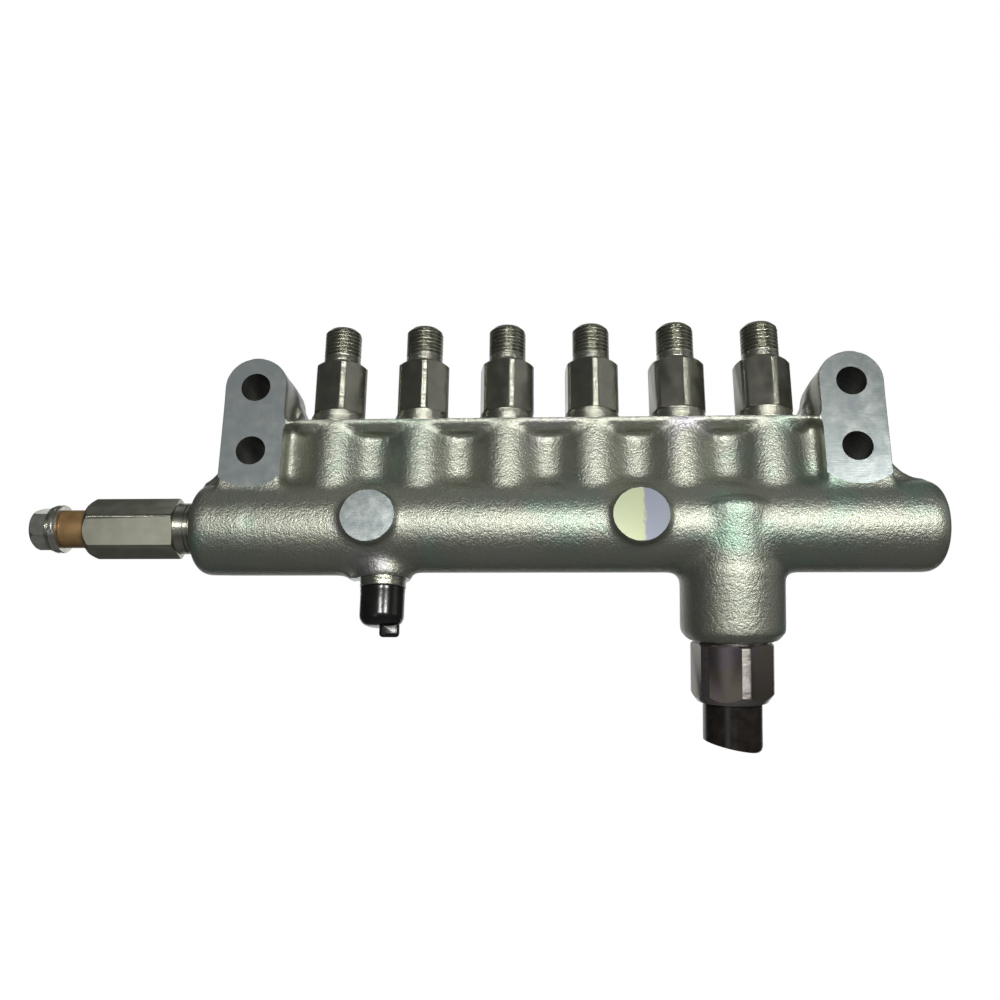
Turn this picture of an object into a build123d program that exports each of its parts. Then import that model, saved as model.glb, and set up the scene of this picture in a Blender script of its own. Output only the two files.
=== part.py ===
from build123d import *
from math import cos, radians, sin, sqrt, tan
import os

os.makedirs("parts", exist_ok=True)

# The frame: X runs along the rail, Y through the bolt holes away from the front pads, Z up the outlets.
# The origin is the centre of the four bolt holes, half way through the brackets.

# Forged body
barrel_radius = 16.5
barrel_left = -129.5
barrel_right = 139.0
barrel_drop = 39.0
barrel_end_round = 6.0
barrel_shoulder_chamfer = 4.0
main_bore_radius = 5.0
main_bore_end_wall = 15.0
barrel_fillet = 4.0
drilling_radius = 1.5

# Outlets
outlet_count = 6
outlet_pitch = 32.0
outlet_boss_radius = 13.0
outlet_valley_radius = 9.5
block_height = 38.5
block_draft = 2.0
block_rim_height = 1.5
block_rim_half_width = 11.9
outlet_socket_radius = 8.0
outlet_socket_depth = 19.3

# Bolt brackets
bolt_spacing_x = 219.0
bolt_spacing_z = 25.0
bolt_hole_radius = 5.5
pad_half_thickness = 12.0
lug_width = 24.4
lug_machining_stock = 0.8
lug_draft = 3.0
lug_heel_width = 3.0
lug_heel_top = 11.0
lug_heel_round = 4.0
pad_cutter_radius = 17.4
pad_cutter_floor = 12.2

# Milled discs on the front of the barrel
disc_plane = 18.0
left_disc_x = -64.0
left_disc_radius = 10.0
right_disc_x = 32.0
right_disc_radius = 10.25

# Outlet union, a flow damper screwed into the block
thread_play = 0.05
union_collar_radius = 10.5
union_collar_height = 4.0
union_across_flats = 19.0
union_hex_height = 19.5
union_shoulder_radius = 9.2
union_neck_radius = 6.0
union_neck_height = 2.4
union_thread_radius = 7.0
union_thread_length = 14.6
union_thread_chamfer = 1.2
union_spigot_length = 19.0
union_seat_radius = 4.2
union_corner_turns = (15.6, 8.1, 12.9, 6.7, 13.6, 15.5)

# Sliding piston inside an outlet union
slide_play = 0.04
piston_chamber_radius = 4.0
piston_chamber_length = 31.0
stop_thickness = 3.0
piston_length = 17.0
piston_nose_radius = 2.1
piston_nose_length = 8.3
piston_stroke = 2.5
coil_lengths_per_turn = 10
damper_spring_radius = 3.1
damper_wire = 0.9
damper_turns = 3
seat_play = 0.1
press_play = 0.01

# Pressure relief valve screwed into the barrel's left end
relief_shank_radius = 9.0
relief_shank_length = 22.0
relief_collar_radius = 9.5
relief_collar_length = 7.3
relief_hex_turned_radius = 11.0
relief_hex_length = 29.9
relief_brow_length = 3.2
relief_brow_radius = 10.0
relief_shoulder_length = 2.2
relief_end_radius = 6.8
relief_chamber_radius = 4.5
relief_seat_thickness = 7.0
relief_stem_length = 14.0
relief_stem_flat = 3.5
relief_cone_radius = 2.6
relief_cone_tip_radius = 0.6
relief_spring_radius = 3.5
relief_wire = 1.2
relief_turns = 4
relief_guide_length = 5.0
relief_across_flats = 20.0
relief_hex_turn = 18.5
relief_chamber_end = 24.0
return_port_radius = 4.0
return_port_depth = 9.0

# Plug on the return port
sleeve_radius = 6.6
sleeve_wall = 2.2
sleeve_length = 9.0
washer_radius = 9.0
washer_thickness = 1.4
washer_gap = 0.05
plug_flange_radius = 8.4
plug_flange_thickness = 1.4
plug_head_across_flats = 14.0
plug_head_length = 7.4
plug_head_chamfer = 2.0
plug_shank_gap = 0.7

# Pressure sensor and its boss
sensor_x = 65.3
sensor_tilt = 15.0
sensor_boss_radius = 18.3
sensor_boss_length = 38.2
sensor_boss_top = 7.0
sensor_boss_foot_chamfer = 1.0
sensor_boss_top_round = 4.0
sensor_shank_radius = 9.0
sensor_shank_length = 18.0
sensor_washer_radius = 12.0
sensor_washer_thickness = 1.6
sensor_neck_radius = 12.6
sensor_neck_length = 1.6
sensor_across_flats = 27.0
sensor_corner_turn = 80.0
sensor_hex_turned_radius = 15.1
sensor_hex_length = 21.0
sensor_hex_chamfer = 4.6
sensor_cup_radius = 8.6
sensor_hex_end_radius = 12.2
sensor_hex_top_chamfer = 1.0
sensor_port_radius = 2.0
sensor_port_depth = 12.0
sensor_cup_depth = 10.0
connector_radius = 10.5
connector_length = 17.5
connector_wall = 2.0
connector_socket_depth = 13.0
connector_base_depth = 8.6
terminal_width = 2.0
terminal_thickness = 0.8
terminal_spacing = 4.6
terminal_reach = 7.0
seal_width = 1.4

# Inlet nipple and its cap
inlet_x = -60.0
inlet_boss_radius = 11.6
inlet_boss_draft = 5.0
inlet_foot_chamfer = 1.2
inlet_boss_reach = 2.8
inlet_collar_radius = 8.3
inlet_collar_length = 3.3
inlet_thread_radius = 7.0
inlet_thread_length = 12.1
inlet_seat_radius = 4.2
cap_play = 0.1
cap_wall = 0.9
cap_end_wall = 1.4
cap_tongue_width = 8.0
cap_tongue_thickness = 3.0
cap_tongue_length = 4.0
cap_tongue_offset = 3.0

# Places worked out from the sizes above
barrel_z = -barrel_drop
block_top = barrel_z + block_height
outlet_places = [(number - (outlet_count - 1) / 2) * outlet_pitch for number in range(outlet_count)]
bolt_x = bolt_spacing_x / 2
bolt_z = bolt_spacing_z / 2
boss_to_valley = outlet_boss_radius + outlet_valley_radius
valley_centre = sqrt(boss_to_valley**2 - (outlet_pitch / 2) ** 2)
valley_depth = valley_centre - outlet_valley_radius
scallop_x = outlet_boss_radius / boss_to_valley * outlet_pitch / 2
scallop_y = outlet_boss_radius / boss_to_valley * valley_centre
lug_half = pad_half_thickness + lug_machining_stock
lug_reach = bolt_x - lug_width / 2
lug_heel_centre = (bolt_x + lug_reach - lug_heel_width) / 2
lug_heel_middle = (block_top - block_rim_height + lug_heel_top) / 2
sensor_plane = Plane(
    origin=(sensor_x, 0, barrel_z),
    x_dir=(1, 0, 0),
    z_dir=(0, sin(radians(sensor_tilt)), -cos(radians(sensor_tilt))),
)
inlet_plane = Plane(origin=(inlet_x, 0, barrel_z), x_dir=(1, 0, 0), z_dir=(0, 0, -1))
relief_plane = Plane(origin=(barrel_left, 0, barrel_z), x_dir=(0, 1, 0), z_dir=(-1, 0, 0))
end_reach = lug_reach + 3 - outlet_places[-1]
end_y = valley_centre - sqrt(outlet_valley_radius**2 - (end_reach - outlet_pitch / 2) ** 2)
cutter_z = barrel_z + pad_cutter_floor + pad_cutter_radius
socket_end_gap = 0.3
inlet_boss_length = barrel_radius + inlet_boss_reach
union_hex_foot = union_collar_height
union_hex_top = union_hex_foot + union_hex_height
union_thread_foot = union_hex_top + union_neck_height
union_hex_bevel = (union_collar_radius - union_shoulder_radius) * tan(radians(30))
union_end = union_thread_foot + union_thread_length
chamber_end = piston_chamber_length - union_spigot_length
piston_foot = stop_thickness + seat_play - union_spigot_length
piston_shoulder = piston_foot + piston_length
relief_hex_end = relief_collar_length + relief_hex_length
relief_brow_end = relief_hex_end + relief_brow_length
relief_end = relief_brow_end + relief_shoulder_length
sensor_shank_end = sensor_boss_length - sensor_shank_length
sensor_neck_foot = sensor_boss_length + sensor_washer_thickness
sensor_hex_foot = sensor_neck_foot + sensor_neck_length
sensor_hex_end = sensor_hex_foot + sensor_hex_length
connector_end = sensor_hex_end + connector_length
connector_floor = connector_end - connector_socket_depth
inlet_end = inlet_boss_length + inlet_collar_length + inlet_thread_length


def seat_cone_height(mouth_radius):
    """Height of a sixty degree sealing cone, from its mouth down to the drilling."""
    return (mouth_radius - drilling_radius) / tan(radians(30))


def coil_points(foot_plane, radius, height, turns):
    """Points along a spring's centre line, which rises from the foot plane in short straight lengths."""
    count = turns * coil_lengths_per_turn
    points = []
    for step in range(count + 1):
        turn = radians(360 * step / coil_lengths_per_turn)
        local = (radius * cos(turn), radius * sin(turn), height * step / count)
        points.append(foot_plane.from_local_coords(local))
    return points


# Sensor boss, a forged stub that leans back from the vertical and becomes part of the body below
with BuildPart() as sensor_boss:
    with BuildSketch(sensor_plane.offset(-sensor_boss_radius)):
        Circle(sensor_boss_radius)
    extrude(amount=sensor_boss_radius + sensor_boss_length)
    split(bisect_by=Plane.XY.offset(barrel_z + sensor_boss_top), keep=Keep.BOTTOM)
    flat_faces = sensor_boss.faces().filter_by(GeomType.PLANE).sort_by(Axis.Z)
    fillet(flat_faces[-1].edges(), sensor_boss_top_round)
    chamfer(flat_faces[0].edges(), sensor_boss_foot_chamfer)

# Forged body: barrel, outlet block, brackets and bosses in one piece
with BuildPart() as rail_body:
    with BuildSketch(Plane.YZ.offset(barrel_left)):
        with Locations((0, barrel_z)):
            Circle(barrel_radius)
    extrude(amount=barrel_right - barrel_left)

    # Scalloped block: a round boss at each outlet, a hollow between each two
    with BuildSketch(Plane.XY.offset(barrel_z)):
        with BuildLine():
            for side in (-1, 1):
                for x in outlet_places:
                    ThreePointArc(
                        (x - scallop_x, side * scallop_y),
                        (x, side * outlet_boss_radius),
                        (x + scallop_x, side * scallop_y),
                    )
                for x in outlet_places[:-1]:
                    ThreePointArc(
                        (x + scallop_x, side * scallop_y),
                        (x + outlet_pitch / 2, side * valley_depth),
                        (x + outlet_pitch - scallop_x, side * scallop_y),
                    )
                for end in (-1, 1):
                    x = end * outlet_places[-1]
                    ThreePointArc(
                        (x + end * scallop_x, side * scallop_y),
                        (x + end * outlet_pitch / 2, side * valley_depth),
                        (x + end * end_reach, side * end_y),
                    )
                    Line((x + end * end_reach, side * end_y), (end * bolt_x, side * end_y))
            for end in (-1, 1):
                Line((end * bolt_x, -end_y), (end * bolt_x, end_y))
        make_face()
    extrude(amount=block_height, taper=block_draft)

    # Bolt lugs, drafted both ways from the parting plane
    with BuildSketch(Plane.XZ):
        with Locations((-bolt_x, bolt_z), (bolt_x, bolt_z)):
            Circle(lug_width / 2)
        with Locations((-bolt_x, (bolt_z + barrel_z) / 2), (bolt_x, (bolt_z + barrel_z) / 2)):
            Rectangle(lug_width, bolt_z - barrel_z)
    extrude(amount=lug_half, both=True, taper=lug_draft)

    # Straight rim along the top of the block, where the hollows end
    with BuildSketch(Plane.XY.offset(block_top)):
        Rectangle(2 * bolt_x, 2 * block_rim_half_width)
    extrude(amount=-block_rim_height)

    # Heel on the inner side of each lug, behind the parting plane
    with BuildSketch(Plane.XZ) as lug_heels:
        with Locations((-lug_heel_centre, lug_heel_middle), (lug_heel_centre, lug_heel_middle)):
            Rectangle(bolt_x - lug_reach + lug_heel_width, lug_heel_top - block_top + block_rim_height)
        fillet(lug_heels.vertices().group_by(Axis.Y)[-1], lug_heel_round)
    extrude(amount=-lug_half)

    # Fillet where the block and the lugs run into the barrel
    barrel_junction = rail_body.edges().filter_by(
        lambda edge: edge.bounding_box().max.Z < barrel_z + barrel_radius
        and edge.bounding_box().min.Z > barrel_z + barrel_radius / 4
    )
    fillet(barrel_junction, barrel_fillet)

    # Rounded right end of the barrel and chamfered left end
    end_rims = rail_body.edges().filter_by(GeomType.CIRCLE)
    end_rims = end_rims.filter_by(lambda edge: abs(edge.radius - barrel_radius) < 0.01)
    fillet(end_rims.sort_by(Axis.X)[-1], barrel_end_round)
    chamfer(end_rims.sort_by(Axis.X)[0], barrel_shoulder_chamfer)

    # Sensor boss, blended where its skirt cuts the barrel
    add(sensor_boss.part)
    boss_junction = rail_body.edges().filter_by(
        lambda edge: abs(edge.center().X - sensor_x) < sensor_boss_radius
        and edge.bounding_box().size.X < 2 * sensor_boss_radius
        and edge.bounding_box().max.Z < barrel_z + sensor_boss_top
        and abs(sqrt((edge @ 0.5).Y ** 2 + ((edge @ 0.5).Z - barrel_z) ** 2) - barrel_radius) < 0.05
    )
    fillet(boss_junction, barrel_fillet)

    # Inlet boss under the barrel
    with BuildSketch(inlet_plane.offset(inlet_boss_length)):
        Circle(inlet_boss_radius - inlet_boss_length * tan(radians(inlet_boss_draft)))
    extrude(amount=-inlet_boss_length, taper=-inlet_boss_draft)
    inlet_junction = rail_body.edges().filter_by(
        lambda edge: abs(edge.bounding_box().center().X - inlet_x) < 1
        and edge.bounding_box().size.X > 2 * inlet_boss_radius - 4
        and barrel_z - barrel_radius - 0.1 < edge.bounding_box().min.Z < barrel_z - barrel_radius + 0.1
    )
    chamfer(inlet_junction, inlet_foot_chamfer)

    # Inlet nipple, turned on the end of its boss
    with BuildSketch(inlet_plane.offset(inlet_boss_length)):
        Circle(inlet_collar_radius)
    extrude(amount=inlet_collar_length)
    with BuildSketch(inlet_plane.offset(inlet_boss_length + inlet_collar_length)):
        Circle(inlet_thread_radius)
    extrude(amount=inlet_thread_length)

    # Raised discs on the front
    for x, radius in ((left_disc_x, left_disc_radius), (right_disc_x, right_disc_radius)):
        with BuildSketch(Plane.XZ):
            with Locations((x, barrel_z)):
                Circle(radius)
        extrude(amount=disc_plane)

    # Front and back pads, milled flat with a round-ended cutter path
    for face in (-1, 1):
        with BuildSketch(Plane.XZ.offset(face * pad_half_thickness)):
            with Locations((-bolt_x, cutter_z), (bolt_x, cutter_z)):
                Circle(pad_cutter_radius)
            with Locations((-bolt_x, cutter_z + lug_width), (bolt_x, cutter_z + lug_width)):
                Rectangle(2 * pad_cutter_radius, 2 * lug_width)
        extrude(amount=face * 3 * lug_machining_stock, mode=Mode.SUBTRACT)

    # Bolt holes
    with BuildSketch(Plane.XZ):
        with GridLocations(bolt_spacing_x, bolt_spacing_z, 2, 2):
            Circle(bolt_hole_radius)
    extrude(amount=lug_half, both=True, mode=Mode.SUBTRACT)

    # Main bore, blind at the right, with the relief valve's socket at the left
    with BuildSketch(Plane.YZ.offset(barrel_left)):
        with Locations((0, barrel_z)):
            Circle(main_bore_radius)
    extrude(amount=barrel_right - barrel_left - main_bore_end_wall, mode=Mode.SUBTRACT)
    with BuildSketch(Plane.YZ.offset(barrel_left)):
        with Locations((0, barrel_z)):
            Circle(relief_shank_radius)
    extrude(amount=relief_shank_length + socket_end_gap, mode=Mode.SUBTRACT)

    # Outlet sockets and their drillings to the bore
    with BuildSketch(Plane.XY.offset(block_top)):
        with Locations(*[(x, 0) for x in outlet_places]):
            Circle(outlet_socket_radius)
    extrude(amount=-outlet_socket_depth, mode=Mode.SUBTRACT)
    with BuildSketch(Plane.XY.offset(block_top)):
        with Locations(*[(x, 0) for x in outlet_places]):
            Circle(drilling_radius)
    extrude(amount=-block_height, mode=Mode.SUBTRACT)

    # Sensor socket and drilling
    with BuildSketch(sensor_plane.offset(sensor_boss_length)):
        Circle(sensor_shank_radius)
    extrude(amount=-sensor_shank_length - socket_end_gap, mode=Mode.SUBTRACT)
    with BuildSketch(sensor_plane.offset(sensor_boss_length)):
        Circle(drilling_radius)
    extrude(amount=-sensor_boss_length, mode=Mode.SUBTRACT)

    # Inlet drilling and its sealing cone
    with BuildSketch(inlet_plane):
        Circle(drilling_radius)
    extrude(amount=inlet_end, mode=Mode.SUBTRACT)
    with BuildSketch(inlet_plane.offset(inlet_end)):
        Circle(inlet_seat_radius)
    extrude(amount=-seat_cone_height(inlet_seat_radius), taper=30, mode=Mode.SUBTRACT)
rail_body.part.label = "rail_body"
export_step(rail_body.part, "parts/rail_body.step")

# Outlet unions, turned from bar with six milled flats, each with its piston, spring and stop
for number, (x, corner_turn) in enumerate(zip(outlet_places, union_corner_turns), start=1):
    seat = Plane(origin=(x, 0, block_top))
    profile_plane = Plane(origin=(x, 0, block_top), x_dir=(1, 0, 0), z_dir=(0, -1, 0))
    outlet_axis = Axis((x, 0, 0), (0, 0, 1))

    with BuildPart() as outlet_union:
        with BuildSketch(profile_plane):
            with BuildLine():
                Polyline(
                    (piston_chamber_radius, -union_spigot_length),
                    (outlet_socket_radius - thread_play, -union_spigot_length),
                    (outlet_socket_radius - thread_play, 0),
                    (union_collar_radius, 0),
                    (union_collar_radius, union_hex_top - union_hex_bevel),
                    (union_shoulder_radius, union_hex_top),
                    (union_neck_radius, union_hex_top),
                    (union_neck_radius, union_thread_foot),
                    (union_thread_radius, union_thread_foot),
                    (union_thread_radius, union_end - union_thread_chamfer),
                    (union_thread_radius - union_thread_chamfer, union_end),
                    (union_seat_radius, union_end),
                    (drilling_radius, union_end - seat_cone_height(union_seat_radius)),
                    (drilling_radius, chamber_end),
                    (piston_chamber_radius, chamber_end),
                    close=True,
                )
            make_face()
        revolve(axis=outlet_axis)
        with BuildSketch(seat.offset(union_hex_foot)):
            Circle(union_collar_radius + 1)
            RegularPolygon(
                union_across_flats / 2, 6, major_radius=False, rotation=corner_turn - 90, mode=Mode.SUBTRACT
            )
        extrude(amount=union_hex_height, mode=Mode.SUBTRACT)
    outlet_union.part.label = f"outlet_union_{number}"
    export_step(outlet_union.part, f"parts/outlet_union_{number}.step")

    # Orifice bush pressed into the foot of the union
    with BuildPart() as damper_stop:
        with BuildSketch(seat.offset(-union_spigot_length)):
            Circle(piston_chamber_radius - press_play)
            Circle(drilling_radius, mode=Mode.SUBTRACT)
        extrude(amount=stop_thickness)
    damper_stop.part.label = f"damper_stop_{number}"
    export_step(damper_stop.part, f"parts/damper_stop_{number}.step")

    # Piston with a nose that shuts the passage at the end of its stroke
    with BuildPart() as damper_piston:
        with BuildSketch(profile_plane):
            with BuildLine():
                Polyline(
                    (0, piston_foot),
                    (piston_chamber_radius - slide_play, piston_foot),
                    (piston_chamber_radius - slide_play, piston_shoulder),
                    (piston_nose_radius, piston_shoulder),
                    (piston_nose_radius, piston_shoulder + piston_nose_length),
                    (0, piston_shoulder + piston_nose_length),
                    close=True,
                )
            make_face()
        revolve(axis=outlet_axis)
    damper_piston.part.label = f"damper_piston_{number}"
    export_step(damper_piston.part, f"parts/damper_piston_{number}.step")

    # Return spring between the piston's shoulder and the end of the chamber
    spring_foot = block_top + piston_shoulder + seat_play + damper_wire / 2
    spring_height = block_top + chamber_end - seat_play - damper_wire / 2 - spring_foot
    with BuildPart() as damper_spring:
        with BuildLine():
            coil = Polyline(
                *coil_points(
                    Plane(origin=(x, 0, spring_foot)), damper_spring_radius, spring_height, damper_turns
                )
            )
        with BuildSketch(Plane(origin=coil @ 0, z_dir=coil % 0)):
            Rectangle(damper_wire, damper_wire)
        sweep(transition=Transition.RIGHT)
    damper_spring.part.label = f"damper_spring_{number}"
    export_step(damper_spring.part, f"parts/damper_spring_{number}.step")

# Relief valve housing, turned and milled, with the return port in its outer end
relief_axis = Axis((0, 0, barrel_z), (1, 0, 0))
relief_profile_plane = Plane(origin=(barrel_left, 0, barrel_z), x_dir=(-1, 0, 0), z_dir=(0, 1, 0))
with BuildPart() as relief_body:
    with BuildSketch(relief_profile_plane):
        with BuildLine():
            Polyline(
                (-relief_shank_length, relief_chamber_radius),
                (-relief_shank_length, relief_shank_radius - thread_play),
                (0, relief_shank_radius - thread_play),
                (0, relief_collar_radius),
                (relief_collar_length, relief_collar_radius),
                (relief_collar_length, relief_hex_turned_radius),
                (relief_hex_end, relief_hex_turned_radius),
                (relief_brow_end, relief_brow_radius),
                (relief_end, relief_end_radius),
                (relief_end, return_port_radius),
                (relief_end - return_port_depth, return_port_radius),
                (relief_end - return_port_depth, drilling_radius),
                (relief_chamber_end, drilling_radius),
                (relief_chamber_end, relief_chamber_radius),
                close=True,
            )
        make_face()
    revolve(axis=relief_axis)
    with BuildSketch(relief_plane.offset(relief_collar_length)):
        Circle(relief_hex_turned_radius + 1)
        RegularPolygon(
            relief_across_flats / 2, 6, major_radius=False, rotation=30 - relief_hex_turn, mode=Mode.SUBTRACT
        )
    extrude(amount=relief_end - relief_collar_length, mode=Mode.SUBTRACT)
relief_body.part.label = "relief_body"
export_step(relief_body.part, "parts/relief_body.step")

# Seat bush, pressed into the inner end of the housing
with BuildPart() as relief_seat:
    with BuildSketch(relief_plane.offset(-relief_shank_length)):
        Circle(relief_chamber_radius - press_play)
        Circle(drilling_radius, mode=Mode.SUBTRACT)
    extrude(amount=relief_seat_thickness)
relief_seat.part.label = "relief_seat"
export_step(relief_seat.part, "parts/relief_seat.step")

# Valve with a sixty degree cone that closes the seat, and three flats for the fuel to pass
cone_gauge = relief_seat_thickness - relief_shank_length + seat_play
cone_base = cone_gauge + (relief_cone_radius - drilling_radius) / tan(radians(30))
cone_tip = cone_gauge - (drilling_radius - relief_cone_tip_radius) / tan(radians(30))
stem_end = cone_base + relief_stem_length
with BuildPart() as relief_valve:
    with BuildSketch(relief_plane.offset(cone_base)):
        Circle(relief_chamber_radius - slide_play)
        for flat in range(3):
            with Locations(Rot(0, 0, 120 * flat) * Pos(relief_stem_flat + relief_chamber_radius, 0)):
                Rectangle(2 * relief_chamber_radius, 2 * relief_chamber_radius, mode=Mode.SUBTRACT)
    extrude(amount=relief_stem_length)
    with BuildSketch(relief_profile_plane):
        with BuildLine():
            Polyline(
                (cone_tip, 0),
                (cone_tip, relief_cone_tip_radius),
                (cone_base, relief_cone_radius),
                (cone_base, 0),
                close=True,
            )
        make_face()
    revolve(axis=relief_axis)
relief_valve.part.label = "relief_valve"
export_step(relief_valve.part, "parts/relief_valve.step")

# Guide behind the valve's spring, against the end of the chamber
with BuildPart() as relief_guide:
    with BuildSketch(relief_plane.offset(relief_chamber_end - relief_guide_length)):
        Circle(relief_chamber_radius - press_play)
        Circle(drilling_radius, mode=Mode.SUBTRACT)
    extrude(amount=relief_guide_length)
relief_guide.part.label = "relief_guide"
export_step(relief_guide.part, "parts/relief_guide.step")

# Valve spring
relief_spring_foot = stem_end + seat_play + relief_wire / 2
relief_spring_end = relief_chamber_end - relief_guide_length - seat_play - relief_wire / 2
with BuildPart() as relief_spring:
    with BuildLine():
        coil = Polyline(
            *coil_points(
                relief_plane.offset(relief_spring_foot),
                relief_spring_radius,
                relief_spring_end - relief_spring_foot,
                relief_turns,
            )
        )
    with BuildSketch(Plane(origin=coil @ 0, z_dir=coil % 0)):
        Rectangle(relief_wire, relief_wire)
    sweep(transition=Transition.RIGHT)
relief_spring.part.label = "relief_spring"
export_step(relief_spring.part, "parts/relief_spring.step")

# Sleeve that spaces the sealing rings from the housing
with BuildPart() as return_sleeve:
    with BuildSketch(relief_plane.offset(relief_end)):
        Circle(sleeve_radius)
        Circle(sleeve_radius - sleeve_wall, mode=Mode.SUBTRACT)
    extrude(amount=sleeve_length)
return_sleeve.part.label = "return_sleeve"
export_step(return_sleeve.part, "parts/return_sleeve.step")

# Two sealing rings, face to face
with BuildPart() as return_washers:
    for place in (0, washer_thickness + washer_gap):
        with BuildSketch(relief_plane.offset(relief_end + sleeve_length + place)):
            Circle(washer_radius)
            Circle(sleeve_radius - sleeve_wall, mode=Mode.SUBTRACT)
        extrude(amount=washer_thickness)
return_washers.part.label = "return_washers"
export_step(return_washers.part, "parts/return_washers.step")

# Plug bolt screwed into the return port
plug_foot = relief_end + sleeve_length + 2 * washer_thickness + washer_gap
head_plane = relief_plane.offset(plug_foot + plug_flange_thickness)
with BuildPart() as return_plug_bolt:
    with BuildSketch(relief_plane.offset(plug_foot)):
        Circle(plug_flange_radius)
    extrude(amount=plug_flange_thickness)
    with BuildSketch(head_plane):
        RegularPolygon(plug_head_across_flats / 2, 6, major_radius=False, rotation=30)
    extrude(amount=plug_head_length)
    chamfer(return_plug_bolt.faces().sort_by(Axis.X)[0].edges(), plug_head_chamfer)
    with BuildSketch(relief_plane.offset(plug_foot)):
        Circle(return_port_radius - thread_play)
    extrude(amount=relief_end - return_port_depth + plug_shank_gap - plug_foot)
return_plug_bolt.part.label = "return_plug_bolt"
export_step(return_plug_bolt.part, "parts/return_plug_bolt.step")

# Pressure sensor, a turned steel body with a large hexagon and a cup for its plug housing
sensor_profile_plane = Plane(origin=sensor_plane.origin, x_dir=(1, 0, 0), z_dir=-sensor_plane.y_dir)
sensor_axis = Axis(sensor_plane.origin, sensor_plane.z_dir)
with BuildPart() as sensor_body:
    with BuildSketch(sensor_profile_plane):
        with BuildLine():
            Polyline(
                (0, sensor_shank_end + sensor_port_depth),
                (sensor_port_radius, sensor_shank_end + sensor_port_depth),
                (sensor_port_radius, sensor_shank_end),
                (sensor_shank_radius - thread_play, sensor_shank_end),
                (sensor_shank_radius - thread_play, sensor_neck_foot),
                (sensor_neck_radius, sensor_neck_foot),
                (sensor_neck_radius, sensor_hex_foot),
                (sensor_hex_turned_radius - sensor_hex_top_chamfer, sensor_hex_foot),
                (sensor_hex_turned_radius, sensor_hex_foot + sensor_hex_top_chamfer),
                (sensor_hex_turned_radius, sensor_hex_end - sensor_hex_chamfer),
                (sensor_hex_end_radius, sensor_hex_end),
                (sensor_cup_radius, sensor_hex_end),
                (sensor_cup_radius, sensor_hex_end - sensor_cup_depth),
                (0, sensor_hex_end - sensor_cup_depth),
                close=True,
            )
        make_face()
    revolve(axis=sensor_axis)
    with BuildSketch(sensor_plane.offset(sensor_hex_foot)):
        Circle(sensor_hex_turned_radius + 1)
        RegularPolygon(
            sensor_across_flats / 2, 6, major_radius=False, rotation=sensor_corner_turn, mode=Mode.SUBTRACT
        )
    extrude(amount=sensor_hex_length, mode=Mode.SUBTRACT)
sensor_body.part.label = "sensor_body"
export_step(sensor_body.part, "parts/sensor_body.step")

# Sealing washer between the boss and the sensor
with BuildPart() as sensor_washer:
    with BuildSketch(sensor_plane.offset(sensor_boss_length)):
        Circle(sensor_washer_radius)
        Circle(sensor_shank_radius + thread_play, mode=Mode.SUBTRACT)
    extrude(amount=sensor_washer_thickness)
sensor_washer.part.label = "sensor_washer"
export_step(sensor_washer.part, "parts/sensor_washer.step")

# Square-section seal under the plug housing
with BuildPart() as sensor_seal:
    with BuildSketch(sensor_plane.offset(sensor_hex_end - sensor_cup_depth)):
        Circle(sensor_cup_radius - thread_play)
        Circle(sensor_cup_radius - seal_width, mode=Mode.SUBTRACT)
    extrude(amount=sensor_cup_depth - connector_base_depth)
sensor_seal.part.label = "sensor_seal"
export_step(sensor_seal.part, "parts/sensor_seal.step")

# Moulded plug housing of the sensor
with BuildPart() as sensor_connector:
    with BuildSketch(sensor_profile_plane):
        with BuildLine():
            Polyline(
                (0, sensor_hex_end - connector_base_depth),
                (sensor_cup_radius - thread_play, sensor_hex_end - connector_base_depth),
                (sensor_cup_radius - thread_play, sensor_hex_end),
                (connector_radius, sensor_hex_end),
                (connector_radius, connector_end),
                (connector_radius - connector_wall, connector_end),
                (connector_radius - connector_wall, connector_floor),
                (0, connector_floor),
                close=True,
            )
        make_face()
    revolve(axis=sensor_axis)
sensor_connector.part.label = "sensor_connector"
export_step(sensor_connector.part, "parts/sensor_connector.step")

# Three blades in the plug socket
with BuildPart() as sensor_terminals:
    with BuildSketch(sensor_plane.offset(connector_floor)):
        with GridLocations(terminal_spacing, 0, 3, 1):
            Rectangle(terminal_width, terminal_thickness)
    extrude(amount=terminal_reach)
sensor_terminals.part.label = "sensor_terminals"
export_step(sensor_terminals.part, "parts/sensor_terminals.step")

# Soft cap pushed over the inlet nipple, with a pull tongue
cap_mouth = inlet_boss_length + inlet_collar_length
cap_floor = inlet_end + cap_play
cap_radius = inlet_thread_radius + cap_play + cap_wall
with BuildPart() as inlet_cap:
    with BuildSketch(inlet_plane.offset(cap_mouth)):
        Circle(cap_radius)
    extrude(amount=cap_floor + cap_end_wall - cap_mouth)
    with BuildSketch(inlet_plane.offset(cap_mouth)):
        Circle(inlet_thread_radius + cap_play)
    extrude(amount=cap_floor - cap_mouth, mode=Mode.SUBTRACT)
    with BuildSketch(inlet_plane.offset(cap_floor + cap_end_wall)):
        with Locations((cap_tongue_offset, 0)):
            RectangleRounded(cap_tongue_width, cap_tongue_thickness, cap_tongue_thickness / 3)
    extrude(amount=cap_tongue_length)
inlet_cap.part.label = "inlet_cap"
export_step(inlet_cap.part, "parts/inlet_cap.step")
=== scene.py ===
from math import cos, pi, radians, sin, tau

import bpy
from mathutils import Matrix, Vector


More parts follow.
